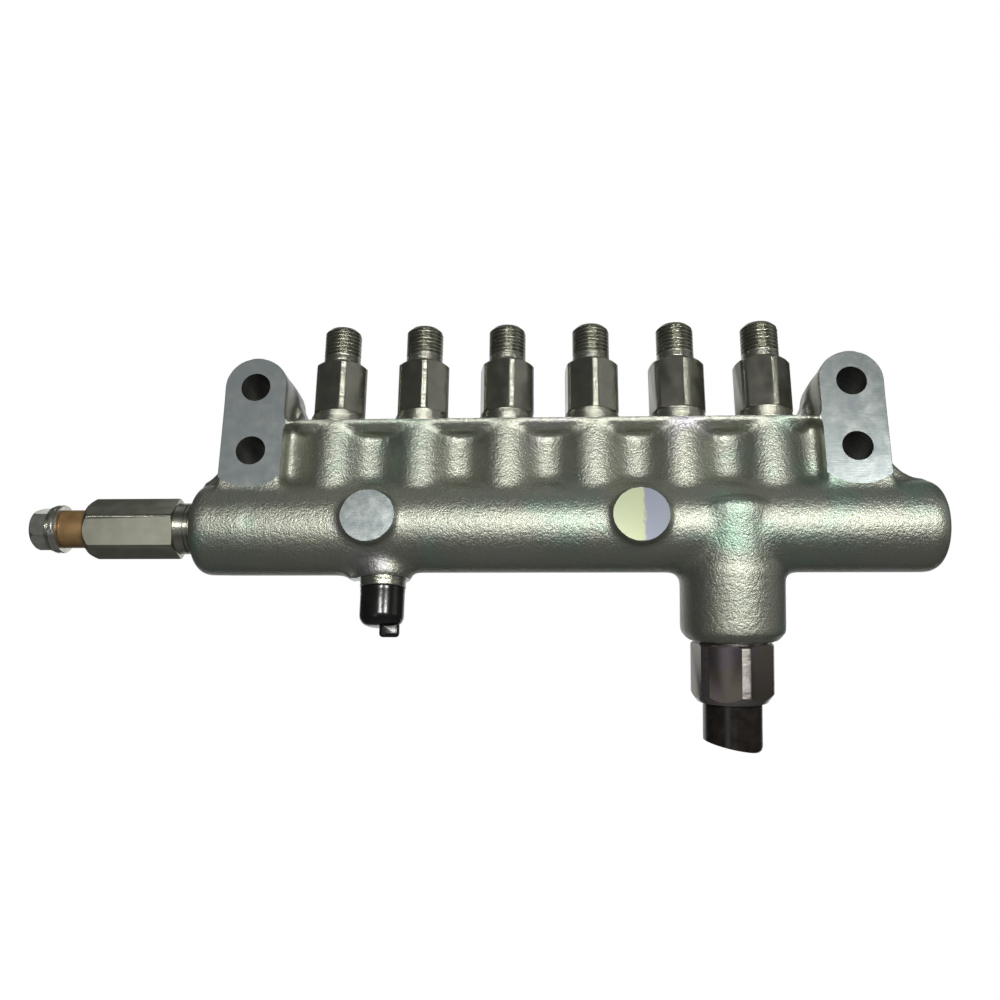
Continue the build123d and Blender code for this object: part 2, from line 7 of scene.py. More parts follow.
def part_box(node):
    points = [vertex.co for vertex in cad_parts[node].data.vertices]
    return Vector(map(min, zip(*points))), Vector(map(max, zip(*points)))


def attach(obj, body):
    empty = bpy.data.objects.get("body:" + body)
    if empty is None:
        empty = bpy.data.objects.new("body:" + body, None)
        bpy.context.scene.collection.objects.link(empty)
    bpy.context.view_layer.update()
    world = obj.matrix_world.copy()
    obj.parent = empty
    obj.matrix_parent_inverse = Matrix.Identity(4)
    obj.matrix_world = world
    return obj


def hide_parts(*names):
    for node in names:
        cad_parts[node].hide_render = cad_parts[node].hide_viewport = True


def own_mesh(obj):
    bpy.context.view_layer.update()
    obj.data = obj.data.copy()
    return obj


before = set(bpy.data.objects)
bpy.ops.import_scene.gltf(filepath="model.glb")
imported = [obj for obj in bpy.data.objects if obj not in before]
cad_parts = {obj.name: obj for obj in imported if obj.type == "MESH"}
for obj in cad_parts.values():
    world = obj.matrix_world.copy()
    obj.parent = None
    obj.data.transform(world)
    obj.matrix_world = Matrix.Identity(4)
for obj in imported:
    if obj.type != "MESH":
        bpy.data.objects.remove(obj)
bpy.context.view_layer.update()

# Forged rail body
# One steel forging: barrel, scalloped outlet block, two bolt lugs and two bosses. It is shot
# blasted, zinc plated and passivated, and its pads, discs, block top, nipple and ports are machined.

# Sizes are in mm, and times mm they are Blender's metres. A pattern with one mark in a mm has the
# scale per_mm.
mm = 0.001
per_mm = 1 / mm
barrel_z = -39.0
barrel_radius = 16.5
barrel_left = -129.5
block_top = -0.5
outlet_x = [-80.0, -48.0, -16.0, 16.0, 48.0, 80.0]
bolt_x = 109.5
bolt_z = 12.5
left_disc_x = -64.0
right_disc_x = 32.0
sensor_x = 65.3
sensor_lean = radians(15.0)
inlet_x = -60.3
front = Vector((0, -1, 0))
sensor_axis = Vector((0, sin(sensor_lean), -cos(sensor_lean)))
sensor_front = Vector((0, -cos(sensor_lean), -sin(sensor_lean)))


def linear(code):
    """The linear colour of an sRGB hex code."""
    levels = [int(code[start : start + 2], 16) / 255 for start in (0, 2, 4)]
    bent = [level / 12.92 if level <= 0.04045 else ((level + 0.055) / 1.055) ** 2.4 for level in levels]
    return (*bent, 1.0)


def feed(node, sources):
    """Links an output into each of these sockets of a node, by name or number."""
    for socket, source in dict(sources).items():
        node.id_data.links.new(source, node.inputs[socket])


def add_node(material, kind, settings=(), links=()):
    """One shader node, with its settings and the links into it.

    A setting called stops holds a colour ramp's places and sRGB hex codes.
    """
    made = material.node_tree.nodes.new(kind)
    for name, value in dict(settings).items():
        if name == "stops":
            for _ in value[2:]:
                made.color_ramp.elements.new(0.5)
            for stop, (position, code) in zip(made.color_ramp.elements, value):
                stop.position = position
                stop.color = linear(code)
        elif isinstance(name, str) and hasattr(made, name):
            setattr(made, name, value)
        else:
            made.inputs[name].default_value = value
    feed(made, links)
    return made


def new_material(name, **sockets):
    """A material with these constant values, its shader, and Object coordinates for its patterns."""
    material = bpy.data.materials.new(name)
    material.use_nodes = True
    shader = material.node_tree.nodes["Principled BSDF"]
    for socket, value in sockets.items():
        shader.inputs[socket].default_value = value
    return material, shader, add_node(material, "ShaderNodeTexCoord").outputs["Object"]


def deselect():
    """Object mode, with nothing selected."""
    if bpy.context.object and bpy.context.object.mode != "OBJECT":
        bpy.ops.object.mode_set(mode="OBJECT")
    bpy.ops.object.select_all(action="DESELECT")


def take(piece):
    """Makes a piece the only one selected, and active."""
    deselect()
    bpy.context.view_layer.objects.active = piece
    piece.select_set(True)


def apply_modifier(piece, kind, **settings):
    """Adds one modifier to a piece and applies it."""
    take(piece)
    modifier = piece.modifiers.new(kind.title(), kind)
    for name, value in settings.items():
        setattr(modifier, name, value)
    bpy.ops.object.modifier_apply(modifier=modifier.name)


def finish_piece(piece, name, body, node):
    """Names a piece, sets its place into its mesh, ties it to its body and hides its CAD node."""
    take(piece)
    bpy.ops.object.transform_apply(location=True, rotation=True, scale=True)
    bpy.ops.object.shade_smooth_by_angle(angle=radians(28))
    piece.name = name
    piece.data.name = name
    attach(piece, body)
    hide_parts(node)


def set_in_place(piece, origin, axis, side, angle=0.0):
    """Lays a piece modelled along Z along an axis, its X towards a side, turned about the axis."""
    across = Vector(axis).cross(Vector(side))
    to_frame = Matrix((side, across, axis)).transposed().to_4x4()
    turned_about = Matrix.Rotation(radians(angle), 4, "Z")
    piece.matrix_world = Matrix.Translation(Vector(origin) * mm) @ to_frame @ turned_about
    take(piece)
    bpy.ops.object.transform_apply(location=True, rotation=True, scale=True)
    return piece


def add_cylinder(centre, radius, length, axis="Z", vertices=64):
    """A primitive cylinder about one axis, centred at a place in mm."""
    deselect()
    bpy.ops.mesh.primitive_cylinder_add(
        vertices=vertices,
        radius=radius * mm,
        depth=length * mm,
        location=Vector(centre) * mm,
        rotation={"X": (0, pi / 2, 0), "Y": (pi / 2, 0, 0), "Z": (0, 0, 0)}[axis],
    )
    return bpy.context.object


def add_block(centre, size, angle=0.0):
    """A primitive block with its centre and size in mm, turned about Z."""
    deselect()
    bpy.ops.mesh.primitive_cube_add(
        location=Vector(centre) * mm, rotation=(0, 0, radians(angle)), scale=Vector(size) * mm / 2
    )
    return bpy.context.object


def join(pieces):
    """One object from several, with their places applied."""
    deselect()
    for piece in pieces:
        piece.select_set(True)
    bpy.context.view_layer.objects.active = pieces[0]
    bpy.ops.object.transform_apply(location=True, rotation=True, scale=True)
    bpy.ops.object.join()
    return bpy.context.object


def cut(piece, cutters, finish=None, operation="DIFFERENCE"):
    """Cuts a piece with each cutter in turn; the new faces take the finish that the cutter leaves."""
    for cutter in cutters:
        if finish:
            cutter.data.materials.clear()
            cutter.data.materials.append(finish)
        apply_modifier(
            piece,
            "BOOLEAN",
            object=cutter,
            solver="MANIFOLD",
            operation=operation,
            material_mode="TRANSFER",
        )
        bpy.data.objects.remove(cutter, do_unlink=True)


def turn_on_lathe(profile, finish, steps=96):
    """A solid turned about Z from (radius, height) points in mm; an open profile ends on the axis."""
    deselect()
    radius, height = profile[0]
    bpy.ops.mesh.primitive_plane_add(size=0.1 * mm, location=(0, 0, 0))
    piece = bpy.context.object
    bpy.ops.object.mode_set(mode="EDIT")
    bpy.ops.mesh.select_all(action="SELECT")
    bpy.ops.mesh.merge(type="CENTER")
    bpy.ops.transform.translate(value=(radius * mm, 0, height * mm))
    for next_radius, next_height in profile[1:]:
        step = ((next_radius - radius) * mm, 0, (next_height - height) * mm)
        bpy.ops.mesh.extrude_region_move(TRANSFORM_OT_translate={"value": step})
        radius, height = next_radius, next_height
    bpy.ops.mesh.select_all(action="SELECT")
    bpy.ops.mesh.spin(steps=steps, angle=tau, center=(0, 0, 0), axis=(0, 0, 1))
    bpy.ops.mesh.select_all(action="SELECT")
    bpy.ops.mesh.remove_doubles(threshold=0.002 * mm)
    bpy.ops.mesh.normals_make_consistent(inside=False)
    bpy.ops.object.mode_set(mode="OBJECT")
    piece.data.materials.append(finish)
    return piece


def mill_hexagon(piece, finish, half_across, low, high, first):
    """Mills six flats on a turned piece between two heights, the first one facing an angle from X."""
    depth, width = 10, 40
    cutters = []
    for angle in range(0, 360, 60):
        reach = half_across + depth / 2
        facing = radians(first + angle)
        centre = (reach * cos(facing), reach * sin(facing), (low + high) / 2)
        cutters.append(add_block(centre, (depth, width, high - low), first + angle))
    cut(piece, cutters, finish)


# Zinc plate with a thin chromate passivate over a shot-blasted forging: a grey-green metal that
# drifts weakly between yellow-green and blue-green, a drift some 36 mm long. Its blast dimples are
# 0.3 mm across, too fine to show, so they are drawn 0.7 mm apart, on soft waves 2 mm apart.
passivated, shader, place = new_material("passivated zinc on blasted forging", Metallic=0.92)
drift = add_node(
    passivated,
    "ShaderNodeTexNoise",
    {"Scale": 0.028 * per_mm, "Detail": 3.0, "Roughness": 0.55},
    {"Vector": place},
)
tint = add_node(
    passivated,
    "ShaderNodeValToRGB",
    {"stops": [(0.3, "859c8e"), (0.44, "92958b"), (0.58, "999a8e"), (0.72, "9c989f")]},
    {"Fac": drift.outputs["Fac"]},
)
dimples = add_node(
    passivated,
    "ShaderNodeTexNoise",
    {"Scale": 1.35 * per_mm, "Detail": 3.0, "Roughness": 0.65},
    {"Vector": place},
)
waves = add_node(
    passivated,
    "ShaderNodeTexNoise",
    {"Scale": 0.52 * per_mm, "Detail": 1.0, "Roughness": 0.5},
    {"Vector": place},
)
skin = add_node(
    passivated,
    "ShaderNodeMath",
    {"operation": "MULTIPLY_ADD", 1: 0.6},
    {0: waves.outputs["Fac"], 2: dimples.outputs["Fac"]},
)
blast = add_node(
    passivated,
    "ShaderNodeBump",
    {"Strength": 1.0, "Distance": 0.24 * mm},
    {"Height": skin.outputs["Value"]},
)
grit = add_node(
    passivated,
    "ShaderNodeMapRange",
    {"From Min": 0.3, "From Max": 0.7, "To Min": 0.32, "To Max": 0.46},
    {"Value": dimples.outputs["Fac"]},
)
feed(
    shader,
    {
        "Base Color": tint.outputs["Color"],
        "Roughness": grit.outputs["Result"],
        "Normal": blast.outputs["Normal"],
    },
)

# The same plate over a milled face: paler, bluish and smooth, with lilac and green blotches 6 mm
# apart where the film is thicker, and faint cutter marks 0.4 mm apart that run along the rail.
milled, shader, place = new_material("passivated zinc on milled steel", Metallic=0.92)
blotch = add_node(
    milled,
    "ShaderNodeTexNoise",
    {"Scale": 0.17 * per_mm, "Detail": 5.0, "Roughness": 0.7},
    {"Vector": place},
)
tint = add_node(
    milled,
    "ShaderNodeValToRGB",
    {"stops": [(0.3, "a9aeb6"), (0.45, "a6b0af"), (0.57, "adb3b4"), (0.7, "b2bab2")]},
    {"Fac": blotch.outputs["Fac"]},
)
stretch = add_node(
    milled,
    "ShaderNodeMapping",
    {"Scale": (0.3 * per_mm, 0.001 * per_mm, 2.6 * per_mm)},
    {"Vector": place},
)
marks = add_node(
    milled, "ShaderNodeTexNoise", {"Scale": 1.0, "Detail": 2.0}, {"Vector": stretch.outputs["Vector"]}
)
scored = add_node(
    milled,
    "ShaderNodeBump",
    {"Strength": 0.25, "Distance": 0.05 * mm},
    {"Height": marks.outputs["Fac"]},
)
sheen = add_node(
    milled,
    "ShaderNodeMapRange",
    {"From Min": 0.3, "From Max": 0.7, "To Min": 0.2, "To Max": 0.27},
    {"Value": blotch.outputs["Fac"]},
)
feed(
    shader,
    {
        "Base Color": tint.outputs["Color"],
        "Roughness": sheen.outputs["Result"],
        "Normal": scored.outputs["Normal"],
    },
)


# Bright steel from the lathe: rings 0.1 mm apart, as the tool's feed leaves them, tip the surface to
# and fro along the axis and draw every lamp out into a streak. The plate is cloudy over 6 mm.
def turned_steel(name, ring_stretch, dark, light, roughness):
    """Plated turned steel, whose rings are fine along the axis that their stretch is largest on."""
    material, shader, place = new_material(name, Metallic=0.95, Roughness=roughness)
    clouds = add_node(
        material, "ShaderNodeTexNoise", {"Scale": 0.16 * per_mm, "Detail": 3.0}, {"Vector": place}
    )
    tint = add_node(
        material,
        "ShaderNodeValToRGB",
        {"stops": [(0.35, dark), (0.65, light)]},
        {"Fac": clouds.outputs["Fac"]},
    )
    drawn = add_node(material, "ShaderNodeMapping", {"Scale": ring_stretch}, {"Vector": place})
    rings = add_node(
        material, "ShaderNodeTexNoise", {"Scale": 1.0, "Detail": 1.0}, {"Vector": drawn.outputs["Vector"]}
    )
    tooled = add_node(
        material,
        "ShaderNodeBump",
        {"Strength": 1.0, "Distance": 0.085 * mm},
        {"Height": rings.outputs["Fac"]},
    )
    feed(shader, {"Base Color": tint.outputs["Color"], "Normal": tooled.outputs["Normal"]})
    return material


across_rings, along_rings = 9 * per_mm, 0.008 * per_mm
upright = (along_rings, along_rings, across_rings)
lengthwise = (across_rings, along_rings, along_rings)
turned = turned_steel("plated steel turned upright", upright, "96968a", "a5a599", 0.24)
turned_across = turned_steel("plated steel turned lengthwise", lengthwise, "96968a", "a5a599", 0.24)

# The right disc's faced surface is painted with a sheen in two tints that meet at one of its cutter's
# steps, along a line that specks 1.7 mm apart make uneven: a brighter yellow-green on the left half
# and a darker lilac on the right
faced, shader, place = new_material("passivated zinc on faced disc with painted sheen", Metallic=0.92, Roughness=0.17)
apart = add_node(faced, "ShaderNodeSeparateXYZ", links={"Vector": place})
speck = add_node(
    faced,
    "ShaderNodeTexNoise",
    {"Scale": 0.6 * per_mm, "Detail": 4.0, "Roughness": 0.7},
    {"Vector": place},
)
uneven = add_node(
    faced,
    "ShaderNodeMath",
    {"operation": "MULTIPLY_ADD", 1: 4 * mm},
    {0: speck.outputs["Fac"], 2: apart.outputs["X"]},
)
across = add_node(
    faced,
    "ShaderNodeMapRange",
    {"From Min": 26 * mm, "From Max": 44 * mm},
    {"Value": uneven.outputs["Value"]},
)
tint = add_node(
    faced,
    "ShaderNodeValToRGB",
    {"stops": [(0.0, "c3cbac"), (0.47, "c8d0ac"), (0.53, "9ea0b2"), (1.0, "a0a8b4")]},
    {"Fac": across.outputs["Result"]},
)
feed(shader, {"Base Color": tint.outputs["Color"]})

# Drilled and left bare inside, with the steel painted nearly black as the painted shade in the
# holes: dull, and mottled in spots 2 mm apart
drilled, shader, place = new_material("drilled steel painted dark as shade", Metallic=0.4, Roughness=0.65)
shade_mottle = add_node(drilled, "ShaderNodeTexNoise", {"Scale": 0.5 * per_mm, "Detail": 3.0}, {"Vector": place})
tint = add_node(
    drilled,
    "ShaderNodeValToRGB",
    {"stops": [(0.35, "2c2c28"), (0.65, "45453d")]},
    {"Fac": shade_mottle.outputs["Fac"]},
)
feed(shader, {"Base Color": tint.outputs["Color"]})

# Raw forging: the CAD solid with its ports plugged and its stock put back, melted into one skin
# whose edges are rounded as a die rounds them.
raw = bpy.data.objects.new("raw forging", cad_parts["rail_body"].data.copy())
bpy.context.collection.objects.link(raw)
take(raw)
bpy.ops.object.mode_set(mode="EDIT")
bpy.ops.mesh.select_all(action="SELECT")
bpy.ops.mesh.remove_doubles(threshold=0.01 * mm)
bpy.ops.mesh.select_all(action="SELECT")
bpy.ops.mesh.bisect(
    plane_co=((barrel_left + 7) * mm, 0, 0), plane_no=(1, 0, 0), use_fill=True, clear_inner=True
)
bpy.ops.object.mode_set(mode="OBJECT")

# The barrel's left end has a larger round than its right end
left_round = 5.5
end_stub = add_cylinder(
    (-119.6, 0, barrel_z - 0.5), radius=barrel_radius + 0.4, length=21, axis="X", vertices=96
)
bpy.ops.object.transform_apply(location=True, rotation=True, scale=True)
bpy.ops.object.mode_set(mode="EDIT")
bpy.ops.mesh.select_all(action="DESELECT")
bpy.ops.object.mode_set(mode="OBJECT")
for edge in end_stub.data.edges:
    edge.select = all(end_stub.data.vertices[k].co.x < -130 * mm for k in edge.vertices)
bpy.ops.object.mode_set(mode="EDIT")
bpy.ops.mesh.bevel(offset=left_round * mm, segments=8)
bpy.ops.object.mode_set(mode="OBJECT")
bore_plug = add_cylinder((7, 0, barrel_z), radius=13.0, length=240, axis="X")
stock = [end_stub, bore_plug]

# The forging is a little fuller under its left half, and the inlet boss runs out to its left
stock.append(add_cylinder((-93, 0, barrel_z - 1.0), radius=barrel_radius, length=50, axis="X", vertices=96))
for step in range(6):
    fall = (1 - step / 6) ** 2
    centre = (inlet_x - 11 - step / 2, 0, barrel_z - barrel_radius - 1.6 * fall)
    stock.append(add_block(centre, (step + 1, 9, 2.4 * fall + 1)))

# Stock over the outlet sockets, and a rim along the block top whose underside slopes in by four steps
for x in outlet_x:
    stock.append(add_cylinder((x, 0, block_top - 19.3), radius=9.0, length=38.4))
for step in range(4):
    depth = 1.8 + 0.8 * step
    half_width = 11.3 - 0.5 * step
    stock.append(add_block((0, 0, block_top + 2 - depth / 2), (186, 2 * half_width, depth + 4)))

# Stock on the lugs, over their bolt holes and pads, and on the two discs
for side in (-1, 1):
    stock.append(add_cylinder((side * bolt_x, 0, bolt_z), radius=12.0, length=25.4, axis="Y"))
    stock.append(add_block((side * bolt_x, 0, -8), (23.8, 25.2, 40)))
    stock.append(add_cylinder((side * 108.2, 6.2, 10.8), radius=12.3, length=12, axis="Y", vertices=96))
for x, radius in ((left_disc_x, 10.0), (right_disc_x, 10.25)):
    stock.append(add_cylinder((x, -10, barrel_z), radius=radius, length=17.6, axis="Y"))

# Each lug's outer foot runs out over the barrel in short steps that the skin smooths into a blend,
# long on the right and shorter on the left
for side, steps, foot_height, bend in ((1, 12, 8.0, 2.4), (-1, 7, 6.0, 2)):
    for step in range(steps):
        reach = step + 1.0
        height = foot_height * (1 - step / steps) ** bend
        x = side * (bolt_x + 11.5 + reach / 2)
        centre = (x, 0, barrel_z + barrel_radius - 3 + height / 2)
        stock.append(add_block(centre, (reach + 1, 11, height + 6)))

# Stock on the sensor boss, whose foot is turned flat around the sensor's washer
for radius, start, end in ((16.8, 17.0, 40.6), (18.7, 14.0, 38.4)):
    middle = Vector((sensor_x + 0.3, 0, barrel_z)) + sensor_axis * (start + end) / 2
    stub = add_cylinder((0, 0, 0), radius=radius, length=end - start, vertices=96)
    stock.append(set_in_place(stub, middle, sensor_axis, sensor_front))

raw = join([raw, *stock])
apply_modifier(raw, "REMESH", mode="VOXEL", voxel_size=0.9 * mm)
apply_modifier(raw, "SMOOTH", factor=0.5, iterations=17)
raw.data.materials.clear()
raw.data.materials.append(passivated)

# Pads, the left disc and the block top are milled flat, and the outlet sockets are bored. Each pad
# ends below in a round, where the cutter stopped.
pad_foot = barrel_z + 12.2
pad_round = 17.4
cutters = [add_block((0, 0, block_top + 5), (184, 40, 10))]
for x in (-bolt_x, bolt_x):
    for y in (-17, 17):
        round_centre = (x, y, pad_foot + pad_round)
        cutters.append(add_cylinder(round_centre, radius=pad_round, length=10, axis="Y", vertices=128))
        cutters.append(add_block((x, y, 15.6), (2 * pad_round, 10, 50)))
cutters.append(add_cylinder((left_disc_x, -23, barrel_z), radius=14, length=10, axis="Y", vertices=96))
for x in outlet_x:
    cutters.append(add_cylinder((x, 0, block_top - 4.3), radius=8.0, length=30))

# The left end is faced and bored for the relief valve, and the main bore runs on behind it
cutters.append(add_cylinder((barrel_left - 10, 0, barrel_z), radius=22, length=20, axis="X", vertices=96))
cutters.append(add_cylinder((-131.65, 0, barrel_z), radius=9.0, length=48.9, axis="X"))
cutters.append(add_cylinder((-5, 0, barrel_z), radius=5.0, length=258, axis="X", vertices=48))

# Sensor socket with its spot face, and the inlet boss faced off where its nipple starts
for radius, start, end in ((9.0, 19.9, 45.0), (12.9, 38.2, 45.0)):
    middle = Vector((sensor_x, 0, barrel_z)) + sensor_axis * (start + end) / 2
    borer = add_cylinder((0, 0, 0), radius=radius, length=end - start)
    cutters.append(set_in_place(borer, middle, sensor_axis, sensor_front))
cutters.append(add_cylinder((inlet_x, 0, barrel_z - 34.3), radius=12.0, length=30.0))
cut(raw, cutters, milled)

# The inlet nipple is turned on the end of its boss: a collar, a plain end for the pipe nut and a
# sixty degree seat. Then the right disc is faced and the bolt holes are drilled.
nipple = turn_on_lathe(
    [(0, 12), (5.0, 12), (5.0, 19.0), (8.0, 19.0), (8.3, 19.3), (8.3, 22.4), (8.1, 22.6), (7.0, 22.6),
     (7.0, 34.0), (6.3, 34.7), (4.2, 34.7), (1.5, 30.0), (1.5, 16.0), (0, 16.0)],
    turned,
    64,
)
cut(raw, [set_in_place(nipple, (inlet_x, 0, barrel_z), (0, 0, -1), front)], operation="UNION")
# Facing the right disc gives it the painted sheen in two tints
cut(raw, [add_cylinder((right_disc_x, -23, barrel_z), radius=14, length=10, axis="Y", vertices=96)], faced)
hole_places = [(x, 0, z) for x in (-bolt_x, bolt_x) for z in (-bolt_z, bolt_z)]
# The bolt holes' walls take the steel painted dark as shade
cut(raw, [add_cylinder(hole_place, radius=5.5, length=40, axis="Y") for hole_place in hole_places], drilled)
finish_piece(raw, "rail_forging", "rail", "rail_body")

# Outlet unions
# Six screwed-in flow damper housings, turned from bar: a round collar seals on the block, a 19 mm
# hexagon takes the wrench and an M14 x 1.5 thread takes the injector line's nut. Zinc plated.


# Zinc plate on flats cut by a mill: a dull grey with close shades some 5 mm apart, and a grain
# 0.4 mm apart that keeps the reflections soft.
def milled_flats(name, dark, middle, light):
    """Plate on milled flats, between three close shades."""
    material, shader, place = new_material(name, Metallic=0.9)
    clouds = add_node(
        material, "ShaderNodeTexNoise", {"Scale": 0.2 * per_mm, "Detail": 4.0}, {"Vector": place}
    )
    tint = add_node(
        material,
        "ShaderNodeValToRGB",
        {"stops": [(0.35, dark), (0.5, middle), (0.65, light)]},
        {"Fac": clouds.outputs["Fac"]},
    )
    fine = add_node(
        material, "ShaderNodeTexNoise", {"Scale": 2.5 * per_mm, "Detail": 2.0}, {"Vector": place}
    )
    grain = add_node(
        material,
        "ShaderNodeBump",
        {"Strength": 0.3, "Distance": 0.03 * mm},
        {"Height": fine.outputs["Fac"]},
    )
    wear = add_node(
        material,
        "ShaderNodeMapRange",
        {"From Min": 0.35, "From Max": 0.65, "To Min": 0.19, "To Max": 0.23},
        {"Value": clouds.outputs["Fac"]},
    )
    feed(
        shader,
        {
            "Base Color": tint.outputs["Color"],
            "Roughness": wear.outputs["Result"],
            "Normal": grain.outputs["Normal"],
        },
    )
    return material


flat_steel = milled_flats("zinc plate on milled flats", "78786f", "7e7e74", "86867b")
union = turn_on_lathe(
    [(4.0, -19), (7.7, -19), (7.95, -18.6), (7.95, 0), (10.0, 0), (10.3, 0.3), (10.3, 3.9), (9.6, 4.1),
     (9.6, 4.9), (10.5, 5.1), (10.5, 23.9), (9.7, 24.7), (8.6, 25.2), (7.6, 25.8), (7.1, 26.4),
     (7.1, 27.3), (7.0, 27.8), (7.0, 39.1), (5.7, 40.5), (4.2, 40.5), (1.5, 35.9), (1.5, 12), (4.0, 12),
     (4.0, -19)],
    turned,
)
mill_hexagon(union, flat_steel, half_across=9.5, low=4.95, high=25, first=0)

# The thread is cut by a coil of one closed triangle, whose turns stand a pitch apart
pitch = 1.5
thread_start = 28.6
thread_corners = ((6.12, 0.0), (7.2, 0.68), (7.2, -0.68))
deselect()
bpy.ops.mesh.primitive_circle_add(vertices=3, radius=1.0 * mm, fill_type="NGON", rotation=(pi / 2, 0, 0))
coil = bpy.context.object
bpy.ops.object.transform_apply(location=False, rotation=True, scale=True)
for vertex, (radius, height) in zip(coil.data.vertices, thread_corners):
    vertex.co = (radius * mm, 0, (thread_start + height) * mm)
apply_modifier(
    coil,
    "SCREW",
    axis="Z",
    angle=tau,
    steps=40,
    render_steps=40,
    screw_offset=pitch * mm,
    iterations=8,
    use_merge_vertices=False,
)
bpy.ops.object.mode_set(mode="EDIT")
bpy.ops.mesh.select_all(action="SELECT")
bpy.ops.mesh.remove_doubles(threshold=0.0005 * mm)
bpy.ops.mesh.select_all(action="SELECT")
bpy.ops.mesh.fill_holes(sides=4)
bpy.ops.mesh.select_all(action="SELECT")
bpy.ops.mesh.normals_make_consistent(inside=False)
bpy.ops.object.mode_set(mode="OBJECT")
cut(union, [coil], turned)

# Each hexagon stands where its own torque left it, in degrees
hexagon_turns = (15.6, 8.1, 12.9, 6.7, 13.6, 15.5)
for number, (x, turn) in enumerate(zip(outlet_x, hexagon_turns), start=1):
    copy = union.copy()
    copy.data = union.data.copy()
    bpy.context.collection.objects.link(copy)
    set_in_place(copy, (x, 0, block_top), (0, 0, 1), (1, 0, 0), turn)
    finish_piece(copy, f"union_{number}", "rail", f"outlet_union_{number}")
bpy.data.objects.remove(union, do_unlink=True)

# Relief valve
# The pressure relief valve's housing, one turned steel body screwed into the barrel's left end. Its
# collar carries two turned grooves and its long hexagon is milled on a nearly round bar.
bright_flats = milled_flats("bright zinc plate on milled flats", "a0a090", "a8a898", "b0b0a2")
relief = turn_on_lathe(
    [(4.5, -22), (8.6, -22), (8.95, -21.5), (8.95, 0), (9.3, 0), (9.5, 0.2), (9.5, 1.5), (9.0, 1.6),
     (9.0, 2.2), (9.5, 2.3), (9.5, 3.0), (9.0, 3.1), (9.0, 3.7), (9.5, 3.8), (9.5, 6.9), (9.6, 7.3),
     (11.25, 7.7), (11.25, 38.9), (9.8, 40.9), (9.2, 41.3), (4.4, 41.3), (4.4, 30), (1.5, 30), (1.5, 24),
     (4.5, 24), (4.5, -22)],
    turned_across,
)
mill_hexagon(relief, bright_flats, half_across=10.0, low=7.3, high=43, first=41.5)
relief_place = ((barrel_left, 0, barrel_z), (-1, 0, 0), (0, 1, 0))
set_in_place(relief, *relief_place)
finish_piece(relief, "relief_housing", "rail", "relief_body")

# Return port closure
# A tan anodised sleeve, two sealing rings with bright rims and a domed hexagon bolt close the
# return port for shipping.

# Dyed anodised aluminium: a tan film over metal, matt and warm, cloudy over 5 mm, with a grain that
# is drawn 0.6 mm apart because the real one is too fine to show
tan, shader, place = new_material("tan anodised aluminium", Metallic=0.6, Roughness=0.42)
cloud = add_node(tan, "ShaderNodeTexNoise", {"Scale": 0.2 * per_mm, "Detail": 3.0}, {"Vector": place})
tint = add_node(
    tan,
    "ShaderNodeValToRGB",
    {"stops": [(0.35, "8a6c48"), (0.65, "9f8057")]},
    {"Fac": cloud.outputs["Fac"]},
)
fine = add_node(tan, "ShaderNodeTexNoise", {"Scale": 1.8 * per_mm, "Detail": 2.0}, {"Vector": place})
grain = add_node(
    tan, "ShaderNodeBump", {"Strength": 0.3, "Distance": 0.06 * mm}, {"Height": fine.outputs["Fac"]}
)
feed(shader, {"Base Color": tint.outputs["Color"], "Normal": grain.outputs["Normal"]})

sleeve = turn_on_lathe(
    [(4.4, 41.3), (6.8, 41.3), (7.1, 41.6), (7.1, 51.2), (6.8, 51.6), (4.4, 51.6), (4.4, 41.3)], tan
)
set_in_place(sleeve, *relief_place)
finish_piece(sleeve, "spacer_sleeve", "rail", "return_sleeve")

# Fresh plate on pressed steel: the brightest metal here, barely clouded over 3 mm
rim_steel, shader, place = new_material("bright plated steel rim", Metallic=0.95, Roughness=0.22)
cloud = add_node(rim_steel, "ShaderNodeTexNoise", {"Scale": 0.3 * per_mm, "Detail": 2.0}, {"Vector": place})
tint = add_node(
    rim_steel,
    "ShaderNodeValToRGB",
    {"stops": [(0.4, "b9b8b0"), (0.6, "cfcec6")]},
    {"Fac": cloud.outputs["Fac"]},
)
feed(shader, {"Base Color": tint.outputs["Color"]})

ring = turn_on_lathe(
    [(4.4, 51.6), (8.7, 51.6), (9.0, 51.9), (9.0, 52.7), (8.7, 53.0), (4.4, 53.0), (4.4, 51.6)],
    rim_steel,
)
outer_ring = ring.copy()
outer_ring.data = ring.data.copy()
bpy.context.collection.objects.link(outer_ring)
outer_ring.location.z = 1.45 * mm
rings = set_in_place(join([ring, outer_ring]), *relief_place)
finish_piece(rings, "bonded_washers", "rail", "return_washers")

bolt = turn_on_lathe(
    [(0, 36), (3.9, 36), (4.35, 36.5), (4.35, 54.45), (8.2, 54.45), (8.4, 54.7), (8.4, 55.6), (8.2, 55.85),
     (7.9, 56.1), (8.05, 56.4), (8.05, 60.2), (7.6, 61.4), (6.6, 62.4), (5.0, 63.0), (2.6, 63.25),
     (0, 63.25)],
    turned_across,
)
mill_hexagon(bolt, rim_steel, half_across=7.0, low=56.1, high=64, first=0)
set_in_place(bolt, *relief_place)
finish_piece(bolt, "plug_bolt", "rail", "return_plug_bolt")

# Pressure sensor
# A steel sensor body with a 27 mm hexagon screws into the slanted boss on a soft washer, and a
# round moulded plug housing with three blades is crimped into its lower end.

